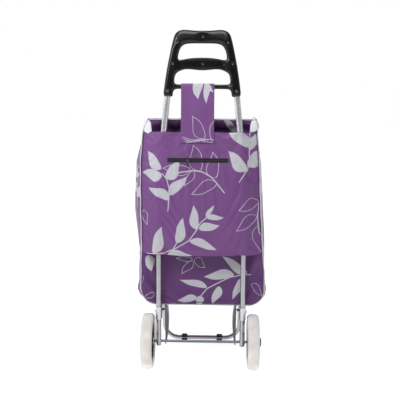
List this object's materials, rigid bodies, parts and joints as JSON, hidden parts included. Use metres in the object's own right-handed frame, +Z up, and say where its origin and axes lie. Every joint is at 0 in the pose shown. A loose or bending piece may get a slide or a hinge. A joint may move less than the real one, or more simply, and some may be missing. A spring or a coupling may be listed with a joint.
{
  "type": "shopping trolley",
  "caption": "Two-wheeled shopping trolley with a tubular frame, moulded handle, fold-up foot and a lidded fabric bag.",
  "frame": {"origin": "on the floor, in the middle of the footprint", "axes": "+Z up; +Y from the handle's uprights towards the bag's front and the fold-up foot; +X to the right for someone standing behind the handle"},
  "size_m": [0.3722, 0.3224, 0.958],
  "materials": {
    "steel_tube": "satin",
    "zinc_steel": "satin",
    "foot_steel": "satin",
    "latch_steel": "satin",
    "axle_steel": "satin",
    "handle_plastic": "gloss",
    "hub_plastic": "satin",
    "bush_plastic": "satin",
    "black_plastic": "satin",
    "foam_tyre": "matte",
    "rubber_foot": "matte",
    "printed_fabric": "matte",
    "lining_fabric": "matte",
    "strap_fabric": "matte",
    "piping_fabric": "matte",
    "board_plastic": "matte",
    "zip_black": "matte",
    "zip_metal": "satin"
  },
  "bodies": {
    "frame": {"lower_tube_left": "steel_tube", "lower_tube_right": "steel_tube", "upper_tube_left": "steel_tube", "upper_tube_right": "steel_tube", "tube_rivets": "zinc_steel", "tube_plugs": "black_plastic", "saddle_bracket_left": "zinc_steel", "saddle_bracket_right": "zinc_steel", "pivot_bolts": "zinc_steel", "pivot_nuts": "zinc_steel", "axle": "axle_steel", "axle_washers": "zinc_steel", "axle_push_nuts": "zinc_steel", "handle_rear_shell": "handle_plastic", "handle_front_shell": "handle_plastic", "handle_screws": "zinc_steel", "handle_tube_screws": "zinc_steel", "bag_back_panel": "printed_fabric", "bag_front_panel": "printed_fabric", "bag_side_left": "printed_fabric", "bag_side_right": "printed_fabric", "bag_bottom": "printed_fabric", "base_board": "board_plastic", "piping_rear": "piping_fabric", "piping_front": "piping_fabric", "sleeve_panel": "printed_fabric", "pocket_lining": "lining_fabric", "zip_tape": "zip_black", "zip_coils": "zip_black", "handle_strap": "strap_fabric", "strap_tape": "lining_fabric"},
    "wheel_left": {"tyre_left": "foam_tyre", "wheel_hub_left": "hub_plastic", "hub_bush_left": "bush_plastic", "hub_cap_left": "black_plastic"},
    "wheel_right": {"tyre_right": "foam_tyre", "wheel_hub_right": "hub_plastic", "hub_bush_right": "bush_plastic", "hub_cap_right": "black_plastic"},
    "foot": {"foot_frame": "foot_steel", "latch_plate_left": "latch_steel", "latch_plate_right": "latch_steel", "latch_pins": "zinc_steel", "foot_ring_left": "rubber_foot", "foot_ring_right": "rubber_foot"},
    "lid": {"lid_panel": "printed_fabric", "lid_flap": "printed_fabric"},
    "zip_slider": {"zip_slider": "zip_metal"},
    "zip_puller": {"zip_puller": "zip_metal"}
  },
  "joints": [
    {"name": "wheel_left_spin", "type": "hinge", "parent": "frame", "child": "wheel_left", "pos_m": [-0.151, -0.08125, 0.08], "axis": [1, 0, 0], "continuous": true},
    {"name": "wheel_right_spin", "type": "hinge", "parent": "frame", "child": "wheel_right", "pos_m": [0.151, -0.08125, 0.08], "axis": [1, 0, 0], "continuous": true},
    {"name": "foot_fold", "type": "hinge", "parent": "frame", "child": "foot", "pos_m": [0, -0.06225, 0.164], "axis": [1, 0, 0], "range_deg": [0, 88], "deforming": ["bag_back_panel", "bag_front_panel", "bag_side_left", "bag_side_right", "bag_bottom", "base_board", "piping_rear", "piping_front"]},
    {"name": "lid_open", "type": "hinge", "parent": "frame", "child": "lid", "pos_m": [0, -0.07025, 0.7164], "axis": [1, 0, 0], "range_deg": [0, 90]},
    {"name": "zip_slide", "type": "slide", "parent": "frame", "child": "zip_slider", "axis": [1, 0, 0], "range_m": [-0.044, 0.099]},
    {"name": "zip_puller_swing", "type": "hinge", "parent": "zip_slider", "child": "zip_puller", "pos_m": [-0.038, -0.0983, 0.604], "axis": [1, 0, 0], "range_deg": [-150, 0]}
  ]
}
